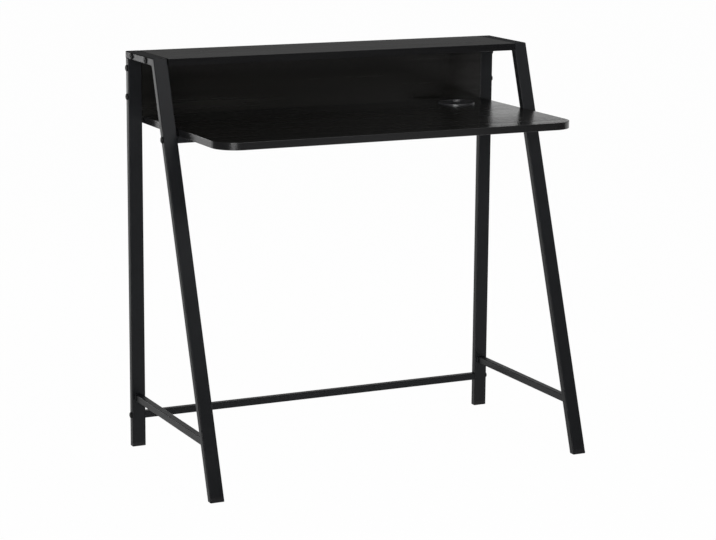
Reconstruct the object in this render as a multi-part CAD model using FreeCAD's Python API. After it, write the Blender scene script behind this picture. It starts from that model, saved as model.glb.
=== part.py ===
# Ladder desk with two leaning steel side frames, a desktop, a back panel and a top shelf
import FreeCAD, Part
import math
import os

V = FreeCAD.Vector

# Overall size, over the outer faces of the side frames, from the floor and from the rear face
overall_width = 864.0
overall_height = 850.0
overall_depth = 457.0
# Depth from the rear face to the corner where a front leg meets its top bar
frame_top_depth = 161.5

# Flat steel tube of the legs and top bars
tube_width = 30.0
tube_depth = 15.0
tube_wall = 1.2
tube_bend_radius = 0.8

# Square tube of the low stretchers, with the heights of their top faces
stretcher_size = 15.0
side_stretcher_top = 115.5
rear_stretcher_top = 76.0

# Tube under the desktop, between the front legs
crossbar_height = 15.0
crossbar_depth = 15.0
crossbar_screw_shares = (-0.4, 0.0, 0.4)

# Threaded block in each end of the rear stretcher and of the crossbar
end_nut_length = 9.0

# Laminated boards and their plastic edge bands
board_thickness = 15.0
band_thickness = 1.0
band_round_share = 0.7
shelf_overhang = 7.5
panel_height = 121.0
desktop_front_depth = 441.0
desktop_corner_radius = 50.0
desktop_side_gap = 1.5

# Cable grommet at the rear right of the desktop
grommet_side_inset = 99.5
grommet_panel_inset = 75.0
grommet_diameter = 80.0
grommet_hole_diameter = 70.0
grommet_hole_gap = 0.3
grommet_wall = 2.2
grommet_flange_height = 4.0
grommet_flange_round = 1.4
grommet_rim_width = 4.0
grommet_ledge_height = 0.8
grommet_barrel_below = 5.0
cap_thickness = 1.8
cap_rim_gap = 0.3
cap_turning_gap = 0.08
cap_skirt_height = 8.0
cap_skirt_wall = 1.6
cap_edge_round = 0.6
cable_notch_width = 16.0
cable_notch_start = 12.0
cable_notch_angle = 57.0

# Plastic feet and the plugs of the top bars
foot_height = 9.0
foot_insert_length = 18.0
foot_edge_round = 1.0
plug_head_thickness = 1.6
plug_insert_length = 12.0
plug_gap = 0.15

# Machine bolts with a domed socket head
bolt_diameter = 6.0
bolt_head_diameter = 13.5
bolt_head_height = 2.6
bolt_head_round_share = 0.75
socket_sides = 6
bolt_socket_size = 4.0
bolt_socket_depth = 1.6
bolt_reach = 12.0
bolt_tip_room = 1.0
bolt_hole_gap = 0.25
thread_gap = 0.05
shelf_bolt_rear_inset = 36.0
shelf_bolt_front_inset = 43.5
panel_bolt_low_inset = 41.0
panel_bolt_high_inset = 20.0

# Insert nuts in the ends of the shelf and the back panel
insert_diameter = 8.0
insert_length = 13.0

# Pan head screws from the crossbar into the desktop
pan_screw_diameter = 4.0
pan_screw_reach = 10.0
pan_head_diameter = 8.0
pan_head_height = 2.4
pan_head_round_share = 0.7
pan_slot_width = 1.0
pan_slot_length = 4.4
pan_slot_depth = 1.2

# Countersunk screws from the desktop into the back panel
panel_screw_diameter = 5.0
panel_screw_reach = 34.0
panel_screw_head_diameter = 9.0
panel_screw_head_depth = 3.5
panel_screw_socket_size = 4.0
panel_screw_socket_depth = 2.4
panel_screw_shares = (-0.38, 0.0, 0.38)

# How far every cutter runs past the face that it cuts, and how near counts as the same height
overrun = 5.0
level_tolerance = 0.01

# Places that follow from the sizes above
rear_y = overall_depth / 2
inner_span = overall_width - 2 * tube_width
reach = 2 * (overall_width + overall_height + overall_depth)
rear_leg_y = rear_y - tube_depth / 2
top_bar_z = overall_height - tube_depth / 2
side_stretcher_z = side_stretcher_top - stretcher_size / 2
rear_stretcher_z = rear_stretcher_top - stretcher_size / 2
shelf_bottom = overall_height - board_thickness
desktop_top = shelf_bottom - panel_height
desktop_bottom = desktop_top - board_thickness
desktop_width = inner_span - 2 * desktop_side_gap
crossbar_z = desktop_bottom - crossbar_height / 2
shelf_depth = frame_top_depth + shelf_overhang
panel_y = rear_y - board_thickness / 2
panel_bolt_heights = (desktop_top + panel_bolt_low_inset, shelf_bottom - panel_bolt_high_inset)
shelf_bolt_places = (rear_y - shelf_bolt_rear_inset, rear_y - frame_top_depth + shelf_bolt_front_inset)
grommet_axis = V(
    desktop_width / 2 - grommet_side_inset,
    rear_y - board_thickness - grommet_panel_inset,
    desktop_top,
)
bolt_hole_radius = bolt_diameter / 2 + bolt_hole_gap
thread_radius = bolt_diameter / 2 + thread_gap

# Directions along a front leg, square to it, and square to the mitre at its top
lean = math.atan2(overall_depth - frame_top_depth, overall_height)
leg_up = V(0, math.sin(lean), math.cos(lean))
leg_back = V(0, math.cos(lean), -math.sin(lean))
mitre_down = (-leg_up - V(0, 1, 0)).normalize()
leg_corner = V(0, rear_y - frame_top_depth, overall_height)
leg_length = overall_height / math.cos(lean)
quarter_turn = 90.0
sides = {"left": -1, "right": 1}


def frame_x(side):
    """Middle of a side frame's tubes, across the desk."""
    return side * (overall_width - tube_width) / 2


def front_leg_y(height):
    """Middle of a front leg's tube, at a height above the floor."""
    middle = leg_corner + leg_back * (tube_depth / 2)
    return middle.y - (middle.z - height) * math.tan(lean)


# Shared ways of placing and cutting


def along(shape, start, direction):
    """A copy of a shape made on the Z axis, moved to a start point and pointed along a direction."""
    placed = shape.copy()
    placed.Placement = FreeCAD.Placement(start, FreeCAD.Rotation(V(0, 0, 1), direction))
    return placed


def turned(shape, axis, angle, start):
    """A copy of a shape made on the Z axis, turned about an axis and moved to a start point."""
    placed = shape.copy()
    placed.Placement = FreeCAD.Placement(start, FreeCAD.Rotation(axis, angle))
    return placed


def trimmed(shape, point, normal):
    """What lies on the side of a plane that its normal points to."""
    half_space = Part.makeBox(reach, reach, reach, V(-reach / 2, -reach / 2, 0))
    return shape.common(along(half_space, point, normal))


def between_heights(shape, low, high):
    """What lies between two heights above the floor."""
    slab = Part.makeBox(reach, reach, high - low, V(-reach / 2, -reach / 2, low))
    return shape.common(slab)


def upright_edges(shape):
    """The edges of a box that run along Z."""
    boxes = [(edge, edge.BoundBox) for edge in shape.Edges]
    return [edge for edge, box in boxes if box.ZLength > box.XLength + box.YLength]


def edges_at_height(shape, height):
    """The edges that lie flat at one height."""
    boxes = [(edge, edge.BoundBox) for edge in shape.Edges]
    return [edge for edge, box in boxes if abs(box.ZMin - height) + abs(box.ZMax - height) < level_tolerance]


def hexagon_prism(across_flats, depth):
    """A six-sided bar along Z, for a socket."""
    corner_radius = across_flats / 2 / math.cos(math.pi / socket_sides)
    turns = [2 * math.pi * step / socket_sides for step in range(socket_sides + 1)]
    points = [V(corner_radius * math.cos(turn), corner_radius * math.sin(turn), 0) for turn in turns]
    return Part.Face(Part.makePolygon(points)).extrude(V(0, 0, depth))


# Steel tube


def rounded_bar(width, depth, length, radius):
    """A bar along Z with its middle on the axis and its four long edges rounded."""
    bar = Part.makeBox(width, depth, length, V(-width / 2, -depth / 2, 0))
    return bar.makeFillet(radius, upright_edges(bar))


def outer_bar(width, depth, length):
    """The outside of a tube."""
    return rounded_bar(width, depth, length, tube_bend_radius + tube_wall)


def inner_bar(width, depth, length, gap):
    """The inside of a tube, less a gap all round."""
    narrowing = 2 * (tube_wall + gap)
    return rounded_bar(width - narrowing, depth - narrowing, length, tube_bend_radius)


def tube(width, depth, length):
    """A tube along Z, open at both ends."""
    bore = inner_bar(width, depth, length + 2 * overrun, 0)
    bore.translate(V(0, 0, -overrun))
    return outer_bar(width, depth, length).cut(bore)


def bolt_hole(side, y, z):
    """A cutter through both walls of a side frame's tube."""
    start = V(side * (overall_width / 2 + overrun), y, z)
    hole = Part.makeCylinder(bolt_hole_radius, tube_width + 2 * overrun)
    return along(hole, start, V(-side, 0, 0))


# Side frames


def on_front_leg(side, bar):
    """A bar that is a front leg and two overruns long, laid along the leg's middle line."""
    foot = leg_corner + leg_back * (tube_depth / 2) - leg_up * (leg_length + overrun)
    return turned(bar, V(1, 0, 0), -math.degrees(lean), V(frame_x(side), foot.y, foot.z))


def on_rear_leg(side, bar):
    """A bar stood on the floor, on a rear leg's middle line."""
    return turned(bar, V(0, 0, 1), 0, V(frame_x(side), rear_leg_y, 0))


def rear_leg(side):
    """Vertical tube from its foot to the underside of the top bar, drilled for three bolts."""
    leg = on_rear_leg(side, tube(tube_width, tube_depth, overall_height))
    leg = between_heights(leg, foot_height, overall_height - tube_depth)
    for height in (rear_stretcher_z, *panel_bolt_heights):
        leg = leg.cut(bolt_hole(side, rear_leg_y, height))
    return leg


def front_leg(side):
    """Leaning tube, cut level above its foot and mitred to the top bar."""
    leg = on_front_leg(side, tube(tube_width, tube_depth, leg_length + 2 * overrun))
    leg = between_heights(leg, foot_height, overall_height + overrun)
    leg = trimmed(leg, leg_corner, mitre_down)
    return leg.cut(bolt_hole(side, front_leg_y(crossbar_z), crossbar_z))


def top_bar(side):
    """Level tube over the rear leg, mitred to the front leg, drilled for the two shelf bolts."""
    start = V(frame_x(side), rear_y - plug_head_thickness, top_bar_z)
    bar = turned(tube(tube_width, tube_depth, frame_top_depth + overrun), V(1, 0, 0), quarter_turn, start)
    bar = trimmed(bar, leg_corner, -mitre_down)
    for y in shelf_bolt_places:
        bar = bar.cut(bolt_hole(side, y, top_bar_z))
    return bar


def side_stretcher(side):
    """Low square tube from the rear leg's front face to the front leg's rear face."""
    start = V(frame_x(side), rear_y - tube_depth, side_stretcher_z)
    run = turned(tube(stretcher_size, stretcher_size, overall_depth), V(1, 0, 0), quarter_turn, start)
    return trimmed(run, leg_corner + leg_back * tube_depth, leg_back)


# Tubes from side to side


def across(bar, y, z):
    """A bar laid from one side frame's inner face to the other's."""
    return turned(bar, V(0, 1, 0), quarter_turn, V(-inner_span / 2, y, z))


def end_nuts(height, depth, y, z):
    """Threaded blocks welded flush into both ends of a tube that lies across."""
    block = inner_bar(height, depth, end_nut_length, plug_gap)
    block = block.cut(Part.makeCylinder(thread_radius, end_nut_length))
    starts = [V(side * inner_span / 2, y, z) for side in sides.values()]
    turns = [-side * quarter_turn for side in sides.values()]
    return Part.makeCompound([turned(block, V(0, 1, 0), turn, start) for turn, start in zip(turns, starts)])


def crossbar():
    """Tube under the desktop, with clear holes for the screws that hold the desktop down."""
    y = front_leg_y(crossbar_z)
    bar = across(tube(crossbar_height, crossbar_depth, inner_span), y, crossbar_z)
    hole = Part.makeCylinder(pan_screw_diameter / 2 + bolt_hole_gap, crossbar_height + 2 * overrun)
    for share in crossbar_screw_shares:
        start = V(share * inner_span, y, desktop_bottom - crossbar_height - overrun)
        bar = bar.cut(along(hole, start, V(0, 0, 1)))
    return bar


# Boards


def insert_bore(side, y, z):
    """A cutter in a board's end for an insert nut, with room for the bolt's tip behind it."""
    start = V(side * (inner_span / 2 + overrun), y, z)
    seat = Part.makeCylinder(insert_diameter / 2 + thread_gap, insert_length + overrun)
    tip = Part.makeCylinder(bolt_hole_radius, bolt_reach + bolt_tip_room + overrun)
    return along(seat.fuse(tip), start, V(-side, 0, 0))


def top_shelf():
    """Board between the top bars, inside its edge bands, bored for four insert nuts."""
    depth = shelf_depth - 2 * band_thickness
    corner = V(-inner_span / 2, rear_y - shelf_depth + band_thickness, shelf_bottom)
    shelf = Part.makeBox(inner_span, depth, board_thickness, corner)
    for side in sides.values():
        for y in shelf_bolt_places:
            shelf = shelf.cut(insert_bore(side, y, top_bar_z))
    return shelf


def shelf_band(outer_y, inner_y):
    """Strip on a long edge of the shelf, with its two outer edges rounded."""
    corner = V(-inner_span / 2, min(outer_y, inner_y), shelf_bottom)
    strip = Part.makeBox(inner_span, band_thickness, board_thickness, corner)
    boxes = [(edge, edge.BoundBox) for edge in strip.Edges]
    long_edges = [(edge, box.Center.y) for edge, box in boxes if box.XLength > box.YLength + box.ZLength]
    outer_edges = [edge for edge, y in long_edges if abs(y - outer_y) < level_tolerance]
    return strip.makeFillet(band_round_share * band_thickness, outer_edges)


def back_panel():
    """Board on edge between the rear legs, bored for insert nuts and for the screws from below."""
    corner = V(-inner_span / 2, rear_y - board_thickness, desktop_top)
    panel = Part.makeBox(inner_span, board_thickness, panel_height, corner)
    for side in sides.values():
        for height in panel_bolt_heights:
            panel = panel.cut(insert_bore(side, rear_leg_y, height))
    pilot_length = panel_screw_reach + bolt_tip_room + overrun
    pilot = Part.makeCylinder(panel_screw_diameter / 2 + thread_gap, pilot_length)
    for share in panel_screw_shares:
        panel = panel.cut(along(pilot, V(share * inner_span, panel_y, desktop_top - overrun), V(0, 0, 1)))
    return panel


def desktop_blank(inset):
    """The desktop's outline, drawn in by an inset, with its front corners rounded."""
    width = desktop_width - 2 * inset
    depth = desktop_front_depth - 2 * inset
    front_y = rear_y - desktop_front_depth + inset
    blank = Part.makeBox(width, depth, board_thickness, V(-width / 2, front_y, desktop_bottom))
    corners = [edge for edge in upright_edges(blank) if edge.BoundBox.YMax < front_y + depth / 2]
    return blank.makeFillet(desktop_corner_radius - inset, corners)


def desktop_bands():
    """The strip round the sides and the front, and the strip along the rear."""
    blank = desktop_blank(0)
    rims = edges_at_height(blank, desktop_top) + edges_at_height(blank, desktop_bottom)
    ring = blank.makeFillet(band_round_share * band_thickness, rims).cut(desktop_blank(band_thickness))
    seam = V(0, rear_y - band_thickness, 0)
    return trimmed(ring, seam, V(0, -1, 0)), trimmed(ring, seam, V(0, 1, 0))


def countersink(gap):
    """A countersunk screw's head and shank up from the desktop's underside, widened by a gap."""
    head_radius = panel_screw_head_diameter / 2 + gap
    shank_radius = panel_screw_diameter / 2 + gap
    head = Part.makeCone(head_radius, shank_radius, panel_screw_head_depth)
    return head.fuse(Part.makeCylinder(shank_radius, board_thickness))


def desktop():
    """Board inside its edge bands, with the grommet's hole and the screws' holes."""
    board = desktop_blank(band_thickness)
    hole = Part.makeCylinder(grommet_hole_diameter / 2, board_thickness + 2 * overrun)
    board = board.cut(along(hole, grommet_axis - V(0, 0, board_thickness + overrun), V(0, 0, 1)))
    for share in panel_screw_shares:
        start = V(share * inner_span, panel_y, desktop_bottom)
        board = board.cut(along(countersink(thread_gap), start, V(0, 0, 1)))
    pilot_length = pan_screw_reach + bolt_tip_room + overrun
    pilot = Part.makeCylinder(pan_screw_diameter / 2 + thread_gap, pilot_length)
    for share in crossbar_screw_shares:
        start = V(share * inner_span, front_leg_y(crossbar_z), desktop_bottom - overrun)
        board = board.cut(along(pilot, start, V(0, 0, 1)))
    return board


# Cable grommet

barrel_radius = grommet_hole_diameter / 2 - grommet_hole_gap
bore_radius = barrel_radius - grommet_wall
seat_radius = grommet_diameter / 2 - grommet_rim_width


def grommet_sleeve():
    """Flanged sleeve through the desktop, with a ledge inside its rim for the cap."""
    flange = Part.makeCylinder(grommet_diameter / 2, grommet_flange_height)
    flange = flange.makeFillet(grommet_flange_round, edges_at_height(flange, grommet_flange_height))
    barrel_length = board_thickness + grommet_barrel_below
    barrel = Part.makeCylinder(barrel_radius, barrel_length, V(0, 0, -barrel_length))
    bore_length = barrel_length + grommet_flange_height + 2 * overrun
    bore = Part.makeCylinder(bore_radius, bore_length, V(0, 0, -barrel_length - overrun))
    seat = Part.makeCylinder(seat_radius, grommet_flange_height + overrun, V(0, 0, grommet_ledge_height))
    return along(flange.fuse(barrel).cut(bore).cut(seat), grommet_axis, V(0, 0, 1))


def grommet_cap():
    """Disc in the sleeve's rim with a skirt in its bore and a notch for cables."""
    disc = Part.makeCylinder(seat_radius - cap_rim_gap, cap_thickness, V(0, 0, grommet_ledge_height))
    disc = disc.makeFillet(cap_edge_round, edges_at_height(disc, grommet_ledge_height + cap_thickness))
    skirt_radius = bore_radius - cap_turning_gap
    skirt_low = V(0, 0, grommet_ledge_height - cap_skirt_height)
    skirt = Part.makeCylinder(skirt_radius, cap_skirt_height, skirt_low)
    skirt = skirt.cut(Part.makeCylinder(skirt_radius - cap_skirt_wall, cap_skirt_height, skirt_low))
    notch_low = V(cable_notch_start, 0, grommet_ledge_height - cap_skirt_height - overrun)
    notch_height = cap_skirt_height + cap_thickness + 2 * overrun
    notch = Part.makeCylinder(cable_notch_width / 2, notch_height, notch_low)
    slot_low = notch_low - V(0, cable_notch_width / 2, 0)
    notch = notch.fuse(Part.makeBox(grommet_diameter, cable_notch_width, notch_height, slot_low))
    return turned(disc.fuse(skirt).cut(notch), V(0, 0, 1), cable_notch_angle, grommet_axis)


# Plastic feet and plugs


def foot(bar_on_leg):
    """Cap of the tube's own section from the floor to the tube, with an insert inside the tube."""
    length = leg_length + 2 * overrun
    cap = between_heights(bar_on_leg(outer_bar(tube_width, tube_depth, length)), 0, foot_height)
    cap = cap.makeFillet(foot_edge_round, edges_at_height(cap, 0))
    core = bar_on_leg(inner_bar(tube_width, tube_depth, length, plug_gap))
    return cap.fuse(between_heights(core, foot_height, foot_height + foot_insert_length)).removeSplitter()


def top_bar_plug(side):
    """Plug in the open rear end of a top bar, its head flush with the tube's outside."""
    head = outer_bar(tube_width, tube_depth, plug_head_thickness)
    core = inner_bar(tube_width, tube_depth, plug_head_thickness + plug_insert_length, plug_gap)
    return turned(head.fuse(core), V(1, 0, 0), quarter_turn, V(frame_x(side), rear_y, top_bar_z))


# Fasteners


def bolt():
    """Domed socket head below the XY plane, shank through a tube and into a nut above it."""
    head = Part.makeCylinder(bolt_head_diameter / 2, bolt_head_height, V(0, 0, -bolt_head_height))
    head = head.makeFillet(bolt_head_round_share * bolt_head_height, edges_at_height(head, -bolt_head_height))
    shank = Part.makeCylinder(bolt_diameter / 2, tube_width + bolt_reach)
    socket = hexagon_prism(bolt_socket_size, bolt_socket_depth)
    socket.translate(V(0, 0, -bolt_head_height))
    return head.fuse(shank).cut(socket)


def bolts(places):
    """The same bolt from both sides, at each place along and up a side frame."""
    shape = bolt()
    starts = [(side, V(side * overall_width / 2, y, z)) for side in sides.values() for y, z in places]
    return Part.makeCompound([along(shape, start, V(-side, 0, 0)) for side, start in starts])


def insert_nuts(places):
    """Threaded sleeves pressed into both ends of a board."""
    nut = Part.makeCylinder(insert_diameter / 2, insert_length)
    nut = nut.cut(Part.makeCylinder(thread_radius, insert_length))
    starts = [(side, V(side * inner_span / 2, y, z)) for side in sides.values() for y, z in places]
    return Part.makeCompound([along(nut, start, V(-side, 0, 0)) for side, start in starts])


def pan_screws():
    """Pan head screws with a cross slot, up through the crossbar into the desktop."""
    head = Part.makeCylinder(pan_head_diameter / 2, pan_head_height, V(0, 0, -pan_head_height))
    head = head.makeFillet(pan_head_round_share * pan_head_height, edges_at_height(head, -pan_head_height))
    screw = head.fuse(Part.makeCylinder(pan_screw_diameter / 2, crossbar_height + pan_screw_reach))
    for length, width in ((pan_slot_length, pan_slot_width), (pan_slot_width, pan_slot_length)):
        corner = V(-length / 2, -width / 2, -pan_head_height)
        screw = screw.cut(Part.makeBox(length, width, pan_slot_depth, corner))
    starts = [
        V(share * inner_span, front_leg_y(crossbar_z), desktop_bottom - crossbar_height)
        for share in crossbar_screw_shares
    ]
    return Part.makeCompound([along(screw, start, V(0, 0, 1)) for start in starts])


def panel_screws():
    """Countersunk socket screws, up through the desktop into the back panel."""
    shank = Part.makeCylinder(panel_screw_diameter / 2, board_thickness + panel_screw_reach)
    screw = countersink(0).fuse(shank).cut(hexagon_prism(panel_screw_socket_size, panel_screw_socket_depth))
    starts = [V(share * inner_span, panel_y, desktop_bottom) for share in panel_screw_shares]
    return Part.makeCompound([along(screw, start, V(0, 0, 1)) for start in starts])


# The whole desk, one entry for each node

nodes = {}
for name, side in sides.items():
    nodes[name + "_rear_leg"] = rear_leg(side)
    nodes[name + "_front_leg"] = front_leg(side)
    nodes[name + "_top_bar"] = top_bar(side)
    nodes[name + "_side_stretcher"] = side_stretcher(side)
    nodes[name + "_front_foot"] = foot(lambda bar: on_front_leg(side, bar))
    nodes[name + "_rear_foot"] = foot(lambda bar: on_rear_leg(side, bar))
nodes["top_bar_end_plugs"] = Part.makeCompound([top_bar_plug(side) for side in sides.values()])

rear_tube = tube(stretcher_size, stretcher_size, inner_span)
crossbar_y = front_leg_y(crossbar_z)
nodes["rear_stretcher"] = across(rear_tube, rear_leg_y, rear_stretcher_z)
nodes["rear_stretcher_end_nuts"] = end_nuts(stretcher_size, stretcher_size, rear_leg_y, rear_stretcher_z)
nodes["front_crossbar"] = crossbar()
nodes["front_crossbar_end_nuts"] = end_nuts(crossbar_height, crossbar_depth, crossbar_y, crossbar_z)

shelf_front_y = rear_y - shelf_depth
nodes["top_shelf"] = top_shelf()
nodes["shelf_front_edge_band"] = shelf_band(shelf_front_y, shelf_front_y + band_thickness)
nodes["shelf_rear_edge_band"] = shelf_band(rear_y, rear_y - band_thickness)
nodes["back_panel"] = back_panel()
nodes["desktop"] = desktop()
nodes["desktop_edge_band"], nodes["desktop_rear_edge_band"] = desktop_bands()
nodes["grommet_sleeve"] = grommet_sleeve()
nodes["grommet_cap"] = grommet_cap()

shelf_places = [(y, top_bar_z) for y in shelf_bolt_places]
panel_places = [(rear_leg_y, height) for height in panel_bolt_heights]
nodes["shelf_bolts"] = bolts(shelf_places)
nodes["shelf_insert_nuts"] = insert_nuts(shelf_places)
nodes["back_panel_bolts"] = bolts(panel_places)
nodes["back_panel_insert_nuts"] = insert_nuts(panel_places)
nodes["front_crossbar_bolts"] = bolts([(crossbar_y, crossbar_z)])
nodes["rear_stretcher_bolts"] = bolts([(rear_leg_y, rear_stretcher_z)])
nodes["desktop_screws"] = pan_screws()
nodes["back_panel_screws"] = panel_screws()

os.makedirs("parts", exist_ok=True)
for name, shape in nodes.items():
    shape.exportStep("parts/" + name + ".step")
    print(name, len(shape.Solids), "solids", shape.isValid())
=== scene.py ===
import math

import bpy
from mathutils import Matrix, Vector


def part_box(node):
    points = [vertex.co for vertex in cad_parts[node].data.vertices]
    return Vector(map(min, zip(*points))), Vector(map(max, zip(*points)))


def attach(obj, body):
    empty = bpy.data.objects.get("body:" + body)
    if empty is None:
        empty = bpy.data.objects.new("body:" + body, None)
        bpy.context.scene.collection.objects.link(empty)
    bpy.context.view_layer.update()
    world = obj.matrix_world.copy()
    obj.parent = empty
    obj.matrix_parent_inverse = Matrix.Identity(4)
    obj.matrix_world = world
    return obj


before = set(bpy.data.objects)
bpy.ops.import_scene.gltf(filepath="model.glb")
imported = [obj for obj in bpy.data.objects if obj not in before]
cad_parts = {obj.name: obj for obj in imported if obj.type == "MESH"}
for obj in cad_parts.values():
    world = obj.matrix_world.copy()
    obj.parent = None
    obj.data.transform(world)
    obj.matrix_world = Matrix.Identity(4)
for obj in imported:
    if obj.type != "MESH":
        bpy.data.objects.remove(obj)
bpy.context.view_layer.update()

# Side frames: steel tube, sawn, mitred and welded into one leaning ladder to a side.
# Legs and top bars are flat tube and the low side stretchers square, all blasted and then powder coated.
# They keep their own shape and take the coat.


def linear(hex_colour):
    """Linear colour of an sRGB hex value, with full alpha."""
    shares = [int(hex_colour[start:start + 2], 16) / 255 for start in (1, 3, 5)]
    return [s / 12.92 if s <= 0.04045 else ((s + 0.055) / 1.055) ** 2.4 for s in shares] + [1]


def add(tree, kind, values=None, links=None):
    """Adds a node, sets its properties and sockets by name or number, and links its inputs."""
    node = tree.nodes.new(kind)
    for name, value in (values or {}).items():
        if isinstance(name, str) and name in node.bl_rna.properties:
            setattr(node, name, value)
        else:
            node.inputs[name].default_value = value
    for name, socket in (links or {}).items():
        tree.links.new(socket, node.inputs[name])
    return node


def new_material(name):
    """An empty material with its surface shader, its output and the piece's own coordinates in metres."""
    material = bpy.data.materials.new(name)
    material.use_nodes = True
    tree = material.node_tree
    tree.nodes.clear()
    shader = add(tree, "ShaderNodeBsdfPrincipled")
    add(tree, "ShaderNodeOutputMaterial", links={"Surface": shader.outputs["BSDF"]})
    place = add(tree, "ShaderNodeTexCoord").outputs["Object"]
    return material, tree, shader, place


def dress(material, names):
    """Gives a material to CAD nodes."""
    for name in names:
        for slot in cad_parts[name].material_slots:
            slot.material = material


mm = 0.001

# A Mix node repeats its socket names, so the sockets for colours go by number.
mix_share, mix_first, mix_second, mix_result = 0, 6, 7, 2

# Baked epoxy-polyester powder: blue-black and satin, with soft highlights that a fine pebbling breaks up.
# The real orange peel is about 1 mm across and is drawn at 2.5 mm, so that it shows.
powder_coat, tree, shader, place = new_material("powder_coated_steel")
peel_size, peel_depth, peel_detail = 2.5 * mm, 0.02 * mm, 2.0
cloud_size, cloud_detail = 60 * mm, 3.0
coat_dark, coat_light = linear("#0f1012"), linear("#161719")
coat_smooth, coat_rough = 0.36, 0.48
coat_shine = 0.16
peel = add(tree, "ShaderNodeTexNoise", {"Scale": 1 / peel_size, "Detail": peel_detail}, {"Vector": place})
clouds = add(tree, "ShaderNodeTexNoise", {"Scale": 1 / cloud_size, "Detail": cloud_detail}, {"Vector": place})
tint = add(tree, "ShaderNodeMix", {"data_type": "RGBA", mix_first: coat_dark, mix_second: coat_light},
           {mix_share: clouds.outputs["Fac"]})
gloss = add(tree, "ShaderNodeMapRange", {"To Min": coat_smooth, "To Max": coat_rough},
            {"Value": clouds.outputs["Fac"]})
bump = add(tree, "ShaderNodeBump", {"Distance": peel_depth}, {"Height": peel.outputs["Fac"]})
tree.links.new(tint.outputs[mix_result], shader.inputs["Base Color"])
tree.links.new(gloss.outputs["Result"], shader.inputs["Roughness"])
tree.links.new(bump.outputs["Normal"], shader.inputs["Normal"])
shader.inputs["Specular IOR Level"].default_value = coat_shine

frame_tubes = [
    f"{side}_{piece}"
    for side in ("left", "right")
    for piece in ("rear_leg", "front_leg", "top_bar", "side_stretcher")
]
dress(powder_coat, frame_tubes)

# Weld beads: where tube meets tube inside a corner, a row of overlapping puddles is left as welded.
# Butt welds on the flat sides are ground away, so only the inside corners and the stretchers show a bead.
# They are coated with the frames.
bead_radius, bead_sides, bead_end_gap = 2.4 * mm, 14, 2.0 * mm
puddle_length, fewest_puddles = 2.2 * mm, 2
# A puddle rises to its crest over the first share of its length and falls to the valley over the rest.
crest_share, valley_radius_share = 0.35, 0.86
level_tolerance = 0.05 * mm


def weld_bead(start, end):
    """A rippled bead along a corner line: a disc extruded puddle by puddle and rounded off at both ends."""
    run = end - start
    puddles = max(fewest_puddles, round(run.length / puddle_length))
    step = run.length / puddles
    bpy.ops.object.select_all(action="DESELECT")
    bpy.ops.mesh.primitive_circle_add(vertices=bead_sides, radius=bead_radius * valley_radius_share,
                                      fill_type="NGON", location=(0, 0, 0))
    bead = bpy.context.object
    bpy.ops.object.mode_set(mode="EDIT")
    bpy.ops.mesh.select_mode(type="FACE")
    bpy.ops.mesh.select_all(action="SELECT")
    for puddle in range(puddles):
        for share, growth in ((crest_share, 1 / valley_radius_share), (1 - crest_share, valley_radius_share)):
            bpy.ops.mesh.extrude_region_move(TRANSFORM_OT_translate={"value": (0, 0, step * share)})
            bpy.ops.transform.resize(value=(growth, growth, 1), center_override=(0, 0, 0))
    bpy.ops.mesh.select_all(action="SELECT")
    bpy.ops.mesh.normals_make_consistent(inside=False)
    bpy.ops.object.mode_set(mode="OBJECT")
    rounding = bead.modifiers.new("rounding", "SUBSURF")
    rounding.levels = rounding.render_levels = 1
    bpy.ops.object.modifier_apply(modifier=rounding.name)
    bead.matrix_world = Matrix.Translation(start) @ run.to_track_quat("Z", "Y").to_matrix().to_4x4()
    bpy.ops.object.transform_apply(location=True, rotation=True, scale=True)
    bpy.ops.object.shade_smooth()
    return bead


def level_points(name, level):
    """The points of a node that lie at one height."""
    points = [vertex.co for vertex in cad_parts[name].data.vertices]
    return [point for point in points if abs(point.z - level) < level_tolerance]


for side in ("left", "right"):
    leg_low, leg_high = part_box(f"{side}_rear_leg")
    run_low, run_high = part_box(f"{side}_side_stretcher")
    bar_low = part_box(f"{side}_top_bar")[0]
    mitre_y = min(point.y for point in level_points(f"{side}_top_bar", bar_low[2]))
    front_low_y = min(point.y for point in level_points(f"{side}_side_stretcher", run_low[2]))
    front_high_y = min(point.y for point in level_points(f"{side}_side_stretcher", run_high[2]))
    across = leg_low[0] + bead_end_gap, leg_high[0] - bead_end_gap
    corner_lines = [
        [Vector((x, leg_low[1], leg_high[2])) for x in across],
        [Vector((x, mitre_y, bar_low[2])) for x in across],
    ]
    for x in (run_low[0], run_high[0]):
        rear = Vector((x, run_high[1], run_low[2])), Vector((x, run_high[1], run_high[2]))
        front = Vector((x, front_low_y, run_low[2])), Vector((x, front_high_y, run_high[2]))
        for low, high in (rear, front):
            inset = (high - low).normalized() * bead_end_gap
            corner_lines.append([low + inset, high - inset])
    beads = [weld_bead(start, end) for start, end in corner_lines]
    bpy.ops.object.select_all(action="DESELECT")
    for bead in beads:
        bead.select_set(True)
    bpy.context.view_layer.objects.active = beads[0]
    bpy.ops.object.join()
    welds = bpy.context.object
    welds.name = f"{side}_frame_welds"
    welds.data.materials.append(powder_coat)
    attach(welds, "desk")

# Rear stretcher and front crossbar: square tube of the same steel, coated with the frames.
# They are cut square, get a threaded block in each end and are bolted between the side frames.
dress(powder_coat, ["rear_stretcher", "front_crossbar"])

# Boards: particle board faced with melamine paper, printed as black oak and pressed with its pores.
# The desktop, the shelf and the back panel all have the grain running from side to side.
# The shelf and the panel are bolted through the frames, and the desktop lies on the crossbar.

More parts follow.
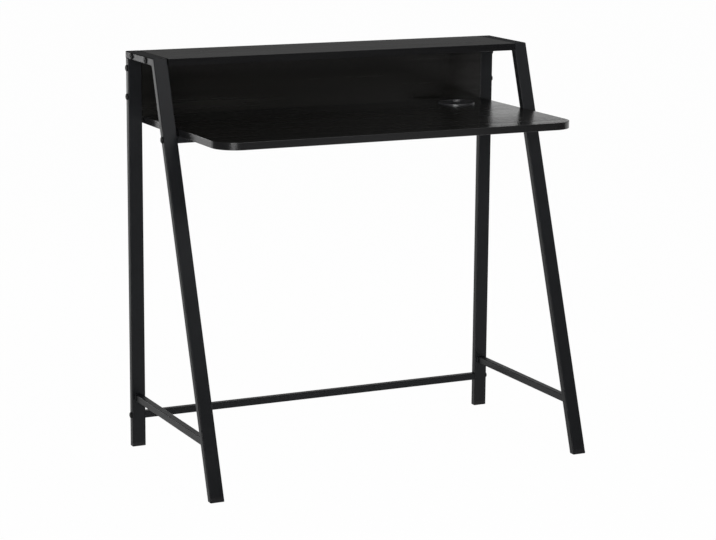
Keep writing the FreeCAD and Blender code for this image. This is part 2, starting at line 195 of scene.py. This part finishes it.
# Melamine-faced board: near black, with long streaks that are a little duller or glossier than the rest
# and short pores that break up a low reflection. Real pores are about 0.3 mm wide, drawn at 1.6 mm to show.
laminate, tree, shader, place = new_material("melamine_laminate")
streak_width, streak_length = 16 * mm, 700 * mm
streak_detail, streak_raggedness, streak_waver = 5.0, 0.6, 0.4
streak_faint, streak_full = 0.3, 0.7
pore_width, pore_length, pore_depth = 1.6 * mm, 45 * mm, 0.03 * mm
pore_detail = 2.0
pore_bottom, pore_brim = 0.35, 0.5
wood_dark, wood_light = linear("#050505"), linear("#11100d")
wood_smooth, wood_rough = 0.19, 0.29
along_streak = add(tree, "ShaderNodeMapping",
                   {"Scale": (1 / streak_length, 1 / streak_width, 1 / streak_width)}, {"Vector": place})
along_pore = add(tree, "ShaderNodeMapping",
                 {"Scale": (1 / pore_length, 1 / pore_width, 1 / pore_width)}, {"Vector": place})
streaks = add(tree, "ShaderNodeTexNoise",
              {"Scale": 1.0, "Detail": streak_detail, "Roughness": streak_raggedness,
               "Distortion": streak_waver},
              {"Vector": along_streak.outputs["Vector"]})
pores = add(tree, "ShaderNodeTexNoise", {"Scale": 1.0, "Detail": pore_detail},
            {"Vector": along_pore.outputs["Vector"]})
pore_cut = add(tree, "ShaderNodeMapRange", {"From Min": pore_bottom, "From Max": pore_brim},
               {"Value": pores.outputs["Fac"]})
tint = add(tree, "ShaderNodeMix", {"data_type": "RGBA", mix_first: wood_dark, mix_second: wood_light},
           {mix_share: streaks.outputs["Fac"]})
gloss = add(tree, "ShaderNodeMapRange",
            {"From Min": streak_faint, "From Max": streak_full, "To Min": wood_smooth, "To Max": wood_rough},
            {"Value": streaks.outputs["Fac"]})
bump = add(tree, "ShaderNodeBump", {"Distance": pore_depth}, {"Height": pore_cut.outputs["Result"]})
tree.links.new(tint.outputs[mix_result], shader.inputs["Base Color"])
tree.links.new(gloss.outputs["Result"], shader.inputs["Roughness"])
tree.links.new(bump.outputs["Normal"], shader.inputs["Normal"])
dress(laminate, ["desktop", "top_shelf", "back_panel"])

# Edge bands: black PVC strip, hot-glued round the boards and scraped to a small radius top and bottom.
# One strip goes round the desktop's ends and front, and short ones close its rear and the shelf's edges.

# Extruded PVC: a plain, fairly glossy black with faint lines along the strip.
# Real die lines are about 0.3 mm apart and are drawn at 1.2 mm, so that they show.
edging, tree, shader, place = new_material("pvc_edging")
line_height, line_length, line_detail = 1.2 * mm, 120 * mm, 3.0
band_dark, band_light = linear("#070708"), linear("#0d0d0e")
band_smooth, band_rough = 0.15, 0.23
band_shine = 0.45
along_line = add(tree, "ShaderNodeMapping",
                 {"Scale": (1 / line_length, 1 / line_length, 1 / line_height)}, {"Vector": place})
lines = add(tree, "ShaderNodeTexNoise", {"Scale": 1.0, "Detail": line_detail},
            {"Vector": along_line.outputs["Vector"]})
tint = add(tree, "ShaderNodeMix", {"data_type": "RGBA", mix_first: band_dark, mix_second: band_light},
           {mix_share: lines.outputs["Fac"]})
gloss = add(tree, "ShaderNodeMapRange", {"To Min": band_smooth, "To Max": band_rough},
            {"Value": lines.outputs["Fac"]})
tree.links.new(tint.outputs[mix_result], shader.inputs["Base Color"])
tree.links.new(gloss.outputs["Result"], shader.inputs["Roughness"])
shader.inputs["Specular IOR Level"].default_value = band_shine
dress(edging, ["shelf_front_edge_band", "shelf_rear_edge_band"])
dress(edging, ["desktop_edge_band", "desktop_rear_edge_band"])

# Cable grommet: two ABS mouldings, a flanged sleeve and a notched cap.
# The sleeve is pressed into a hole bored at the desktop's rear right, and the cap turns in the sleeve.

# Moulded ABS: a satin charcoal, paler than the board, with a spark-eroded grain that blurs the highlights.
# The real grain is about 0.2 mm across and is drawn at 0.9 mm, so that it shows.
moulded_abs, tree, shader, place = new_material("moulded_abs")
grain_size, grain_depth, grain_detail = 0.9 * mm, 0.006 * mm, 2.0
abs_charcoal = linear("#29292b")
abs_smooth, abs_rough = 0.3, 0.42
grain = add(tree, "ShaderNodeTexNoise", {"Scale": 1 / grain_size, "Detail": grain_detail}, {"Vector": place})
gloss = add(tree, "ShaderNodeMapRange", {"To Min": abs_smooth, "To Max": abs_rough},
            {"Value": grain.outputs["Fac"]})
bump = add(tree, "ShaderNodeBump", {"Distance": grain_depth}, {"Height": grain.outputs["Fac"]})
shader.inputs["Base Color"].default_value = abs_charcoal
tree.links.new(gloss.outputs["Result"], shader.inputs["Roughness"])
tree.links.new(bump.outputs["Normal"], shader.inputs["Normal"])
dress(moulded_abs, ["grommet_sleeve", "grommet_cap"])

# Feet and top bar plugs: black polyethylene mouldings, pushed into the open ends of the tubes.
# The feet carry the desk, and the plugs only close the bars.

# Moulded polyethylene: waxy and matt, with a soft skin that hardly shines.
# The real skin's grain is about 0.3 mm across and is drawn at 1.5 mm, so that it shows.
polyethylene, tree, shader, place = new_material("moulded_polyethylene")
skin_size, skin_depth, skin_detail = 1.5 * mm, 0.01 * mm, 2.0
skin_black = linear("#0d0d0f")
skin_smooth, skin_rough = 0.45, 0.6
skin_shine = 0.25
skin = add(tree, "ShaderNodeTexNoise", {"Scale": 1 / skin_size, "Detail": skin_detail}, {"Vector": place})
gloss = add(tree, "ShaderNodeMapRange", {"To Min": skin_smooth, "To Max": skin_rough},
            {"Value": skin.outputs["Fac"]})
bump = add(tree, "ShaderNodeBump", {"Distance": skin_depth}, {"Height": skin.outputs["Fac"]})
shader.inputs["Base Color"].default_value = skin_black
shader.inputs["Specular IOR Level"].default_value = skin_shine
tree.links.new(gloss.outputs["Result"], shader.inputs["Roughness"])
tree.links.new(bump.outputs["Normal"], shader.inputs["Normal"])
dress(polyethylene, [f"{side}_{end}_foot" for side in ("left", "right") for end in ("front", "rear")])
dress(polyethylene, ["top_bar_end_plugs"])

# Bolts: M6 steel machine screws with domed socket heads, plated black.
# Each goes through a side frame from outside, into the end of a board or of a cross tube.

# Black zinc plate: darker and duller than the coat round it, so a head is a dark dot with a faint shine.
# The plate's real grain is below 0.1 mm and is drawn at 0.8 mm, so that it shows.
black_plate, tree, shader, place = new_material("black_plated_steel")
plate_size, plate_detail = 0.8 * mm, 2.0
plate_black = linear("#0a0a0b")
plate_smooth, plate_rough = 0.45, 0.6
plate_shine = 0.1
plate = add(tree, "ShaderNodeTexNoise", {"Scale": 1 / plate_size, "Detail": plate_detail}, {"Vector": place})
gloss = add(tree, "ShaderNodeMapRange", {"To Min": plate_smooth, "To Max": plate_rough},
            {"Value": plate.outputs["Fac"]})
shader.inputs["Base Color"].default_value = plate_black
shader.inputs["Specular IOR Level"].default_value = plate_shine
tree.links.new(gloss.outputs["Result"], shader.inputs["Roughness"])
dress(black_plate, ["shelf_bolts", "back_panel_bolts", "front_crossbar_bolts", "rear_stretcher_bolts"])

# Nuts and wood screws: steel, turned or cold-headed and zinc plated.
# The nuts sit in the ends of boards and tubes, and the screws go up into the boards from below.

# Bright zinc plate: a pale grey metal with a slightly uneven shine, in patches of about a millimetre.
zinc, tree, shader, place = new_material("zinc_plated_steel")
patch_size, patch_detail = 1.2 * mm, 3.0
zinc_grey = linear("#b9bcc0")
zinc_smooth, zinc_rough = 0.28, 0.42
patches = add(tree, "ShaderNodeTexNoise", {"Scale": 1 / patch_size, "Detail": patch_detail},
              {"Vector": place})
gloss = add(tree, "ShaderNodeMapRange", {"To Min": zinc_smooth, "To Max": zinc_rough},
            {"Value": patches.outputs["Fac"]})
shader.inputs["Base Color"].default_value = zinc_grey
shader.inputs["Metallic"].default_value = 1.0
tree.links.new(gloss.outputs["Result"], shader.inputs["Roughness"])
dress(zinc, ["rear_stretcher_end_nuts", "front_crossbar_end_nuts", "shelf_insert_nuts"])
dress(zinc, ["back_panel_insert_nuts", "desktop_screws", "back_panel_screws"])

# Camera: a long lens at a standing eye's height, to the left of the desk and turned down a little.
# Its place and angles come from the desk's own edges in the photograph, and it has no shift.
camera_place = Vector((-2.063, -4.2485, 1.375))
camera_turn, camera_dip, camera_roll = math.radians(25.88), math.radians(11.75), math.radians(0.48)
sensor_width, lens_length = 36.0, 114.9
bpy.ops.object.camera_add()
camera = bpy.context.object
camera.data.sensor_width = sensor_width
camera.data.lens = lens_length
camera.matrix_world = (
    Matrix.Translation(camera_place)
    @ Matrix.Rotation(-camera_turn, 4, "Z")
    @ Matrix.Rotation(math.pi / 2 - camera_dip, 4, "X")
    @ Matrix.Rotation(camera_roll, 4, "Z")
)
bpy.context.scene.camera = camera

# Backdrop: the white wall of the studio all round, which the camera and every gloss see.
# It is full white low down and greyer above, and other rays get only an even, faint light from it.


def white_share(tree):
    """One where a ray comes from the camera, from a gloss or through a clear piece, and zero elsewhere."""
    path = add(tree, "ShaderNodeLightPath").outputs
    pair = add(tree, "ShaderNodeMath", {"operation": "MAXIMUM"},
               {0: path["Is Camera Ray"], 1: path["Is Glossy Ray"]})
    trio = add(tree, "ShaderNodeMath", {"operation": "MAXIMUM"},
               {0: pair.outputs[0], 1: path["Is Transmission Ray"]})
    return trio.outputs[0]


full_white, white_level = linear("#ffffff"), 1.0
backdrop_white_end, backdrop_grey_start = 0.14, 0.3
backdrop_top_level, ambient_level = 0.4, 0.12
world = bpy.data.worlds.new("studio")
bpy.context.scene.world = world
world.use_nodes = True
tree = world.node_tree
tree.nodes.clear()
heading = add(tree, "ShaderNodeTexCoord").outputs["Generated"]
height = add(tree, "ShaderNodeSeparateXYZ", links={"Vector": heading}).outputs["Z"]
fade = add(tree, "ShaderNodeMapRange",
           {"From Min": backdrop_white_end, "From Max": backdrop_grey_start,
            "To Min": white_level, "To Max": backdrop_top_level},
           {"Value": height})
backdrop = add(tree, "ShaderNodeBackground", {"Color": full_white}, {"Strength": fade.outputs["Result"]})
ambient = add(tree, "ShaderNodeBackground", {"Color": full_white, "Strength": ambient_level})
room = add(tree, "ShaderNodeMixShader",
           links={0: white_share(tree), 1: ambient.outputs[0], 2: backdrop.outputs[0]})
add(tree, "ShaderNodeOutputWorld", links={"Surface": room.outputs[0]})

# Floor: white paper laid flat under the desk, as one wide round sheet.
# It shows nearly as white as the backdrop and keeps a little of the desk's shadow.
floor_radius, round_sides = 14.0, 96
floor_white_share = 0.985
paper_white = linear("#f6f6f6")
bpy.ops.object.select_all(action="DESELECT")
bpy.ops.mesh.primitive_circle_add(vertices=round_sides, radius=floor_radius, fill_type="NGON",
                                  location=(0, 0, 0))
floor = bpy.context.object
floor.name = "studio_floor"
white_paper = bpy.data.materials.new("white_paper")
white_paper.use_nodes = True
tree = white_paper.node_tree
tree.nodes.clear()
paper = add(tree, "ShaderNodeBsdfDiffuse", {"Color": paper_white})
glow = add(tree, "ShaderNodeEmission", {"Color": full_white, "Strength": white_level})
glow_share = add(tree, "ShaderNodeMath", {"operation": "MULTIPLY", 1: floor_white_share},
                 {0: white_share(tree)})
sheet = add(tree, "ShaderNodeMixShader",
            links={0: glow_share.outputs[0], 1: paper.outputs[0], 2: glow.outputs[0]})
add(tree, "ShaderNodeOutputMaterial", links={"Surface": sheet.outputs[0]})
floor.data.materials.append(white_paper)

# Lamps: square softboxes on stands, in front of the desk, above it and behind it.
# The key lamp stands at the front left, a little higher than the shelf, and a grid narrows its beam.
desk_middle, open_spread = 0.45, 180


def softbox(name, turn, rise, distance, size, watts, aim_height=desk_middle, spread=open_spread):
    """A square lamp that faces the desk, placed by its angles round from the rear to the right and up."""
    aim = Vector((0, 0, aim_height))
    turn, rise = math.radians(turn), math.radians(rise)
    out = Vector((math.sin(turn) * math.cos(rise), math.cos(turn) * math.cos(rise), math.sin(rise)))
    bpy.ops.object.light_add(type="AREA", location=aim + out * distance)
    lamp = bpy.context.object
    lamp.name = name
    lamp.data.shape = "SQUARE"
    lamp.data.size = size
    lamp.data.energy = watts
    lamp.data.spread = math.radians(spread)
    lamp.rotation_euler = out.to_track_quat("Z", "Y").to_euler()


softbox("key_softbox", turn=-150, rise=5, distance=3.2, size=1.6, watts=11.5, aim_height=0.95, spread=50)
softbox("fill_softbox", turn=152, rise=44, distance=3.2, size=1.4, watts=14)
softbox("front_softbox", turn=170, rise=46, distance=3.2, size=0.8, watts=16)
softbox("top_softbox", turn=0, rise=85, distance=2.8, size=2.2, watts=12)
softbox("rim_softbox", turn=-28, rise=6, distance=2.7, size=0.6, watts=7)

# Curtain and cards: sheets that only reflections see, each glowing at one even grey level as a painted
# reflection.
# A faint glow paints a dark curtain round the front and a dark flag behind the shelf, and a bright glow
# paints two pale cards on stands at the front right, standing in for the unlit and the lit parts of a studio.


def painted_reflection_sheet(piece, name, level):
    """Makes a piece a painted reflection: it glows at one even grey level that only reflections see."""
    piece.name = name
    card = bpy.data.materials.new(name)
    card.use_nodes = True
    card.node_tree.nodes.clear()
    reflection_glow = add(card.node_tree, "ShaderNodeEmission", {"Color": full_white, "Strength": level})
    add(card.node_tree, "ShaderNodeOutputMaterial", links={"Surface": reflection_glow.outputs[0]})
    piece.data.materials.append(card)
    piece.visible_camera = piece.visible_diffuse = piece.visible_shadow = False
    piece.visible_transmission = piece.visible_volume_scatter = False


curtain_radius, curtain_high = 3.9, 3.4
curtain_left_end, curtain_right_end = -45, 100
# Painted dark reflection: the curtain glows faintly, and only reflections see it.
dark_reflection_glow = 0.06
bpy.ops.mesh.primitive_cylinder_add(vertices=round_sides, radius=curtain_radius, depth=curtain_high,
                                    end_fill_type="NOTHING", location=(0, 0, curtain_high / 2))
curtain = bpy.context.object
bpy.ops.object.mode_set(mode="EDIT")
bpy.ops.mesh.select_mode(type="FACE")
bpy.ops.mesh.select_all(action="DESELECT")
bpy.ops.object.mode_set(mode="OBJECT")
for face in curtain.data.polygons:
    face_turn = math.degrees(math.atan2(face.center.x, face.center.y))
    face.select = curtain_left_end < face_turn < curtain_right_end
bpy.ops.object.mode_set(mode="EDIT")
bpy.ops.mesh.delete(type="FACE")
bpy.ops.object.mode_set(mode="OBJECT")
painted_reflection_sheet(curtain, "front_painted_dark_reflection", dark_reflection_glow)


def standing_painted_reflection(name, turn, distance, low, high, width, level):
    """An upright painted-reflection card that faces the desk, at an angle round from the rear to the right.
    """
    bpy.ops.mesh.primitive_plane_add(size=1.0)
    card = bpy.context.object
    card.matrix_world = (
        Matrix.Rotation(-math.radians(turn), 4, "Z")
        @ Matrix.Translation((0, distance, (low + high) / 2))
        @ Matrix.Rotation(math.pi / 2, 4, "X")
        @ Matrix.Diagonal((width, high - low, 1, 1))
    )
    painted_reflection_sheet(card, name, level)


dark_glow_turn = math.degrees(camera_turn)
# Painted reflections: a faint glow behind the shelf, and bright glows low and high at the front right.
standing_painted_reflection("rear_painted_dark_reflection", turn=dark_glow_turn, distance=0.46, low=0.79, high=1.7, width=2.6, level=0.14)
standing_painted_reflection("floor_painted_pale_reflection", turn=154, distance=3.8, low=0.0, high=0.18, width=0.7, level=0.9)
standing_painted_reflection("side_painted_pale_reflection", turn=143, distance=3.8, low=0.95, high=1.7, width=1.3, level=0.9)

bpy.context.scene.view_settings.view_transform = "Standard"
